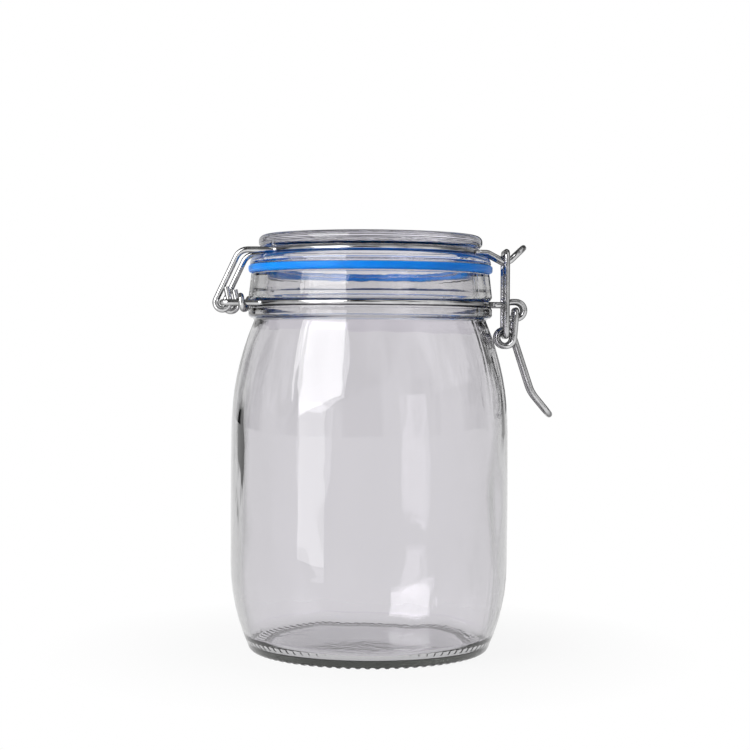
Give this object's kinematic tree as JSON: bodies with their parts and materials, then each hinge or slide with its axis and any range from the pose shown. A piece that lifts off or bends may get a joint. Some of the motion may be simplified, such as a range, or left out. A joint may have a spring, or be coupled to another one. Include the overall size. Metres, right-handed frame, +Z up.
{
  "type": "clip-top jar",
  "caption": "Clear glass storage jar with a hinged glass lid, a blue rubber gasket and a bent-wire lever clip that pulls the lid down on its seal",
  "frame": {"origin": "centre of the jar's base, on the jar's axis, at the height of the bearing ring that it stands on", "axes": "+Z up along the jar's axis, +X towards the clip, -X towards the hinge, Y across"},
  "size_m": [0.132, 0.1086, 0.1618],
  "materials": {
    "glass": "clear polished glass",
    "gasket": "smooth blue rubber",
    "steel_wire": "bright drawn wire"
  },
  "bodies": {
    "jar": {"glass_jar": "glass", "neck_wire": "steel_wire", "tie_wire": "steel_wire"},
    "lid": {"glass_lid": "glass", "gasket": "gasket", "lid_wire": "steel_wire"},
    "lever": {"lever": "steel_wire"},
    "link": {"link": "steel_wire"}
  },
  "joints": [
    {"name": "lid_hinge", "type": "hinge", "parent": "jar", "child": "lid", "pos_m": [-0.05638, 0, 0.135], "axis": [0, -1, 0], "range_deg": [0, 110]},
    {"name": "lever_pivot", "type": "hinge", "parent": "jar", "child": "lever", "pos_m": [0.05689, 0, 0.13295], "axis": [0, -1, 0], "range_deg": [0, 120]},
    {"name": "link_pivot", "type": "hinge", "parent": "lever", "child": "link", "pos_m": [0.05289, 0, 0.12295], "axis": [0, -1, 0], "range_deg": [-81.6, 0]}
  ],
  "couplings": [
    {"joint": "link_pivot", "follows": "lever_pivot", "ratio": -0.68}
  ]
}
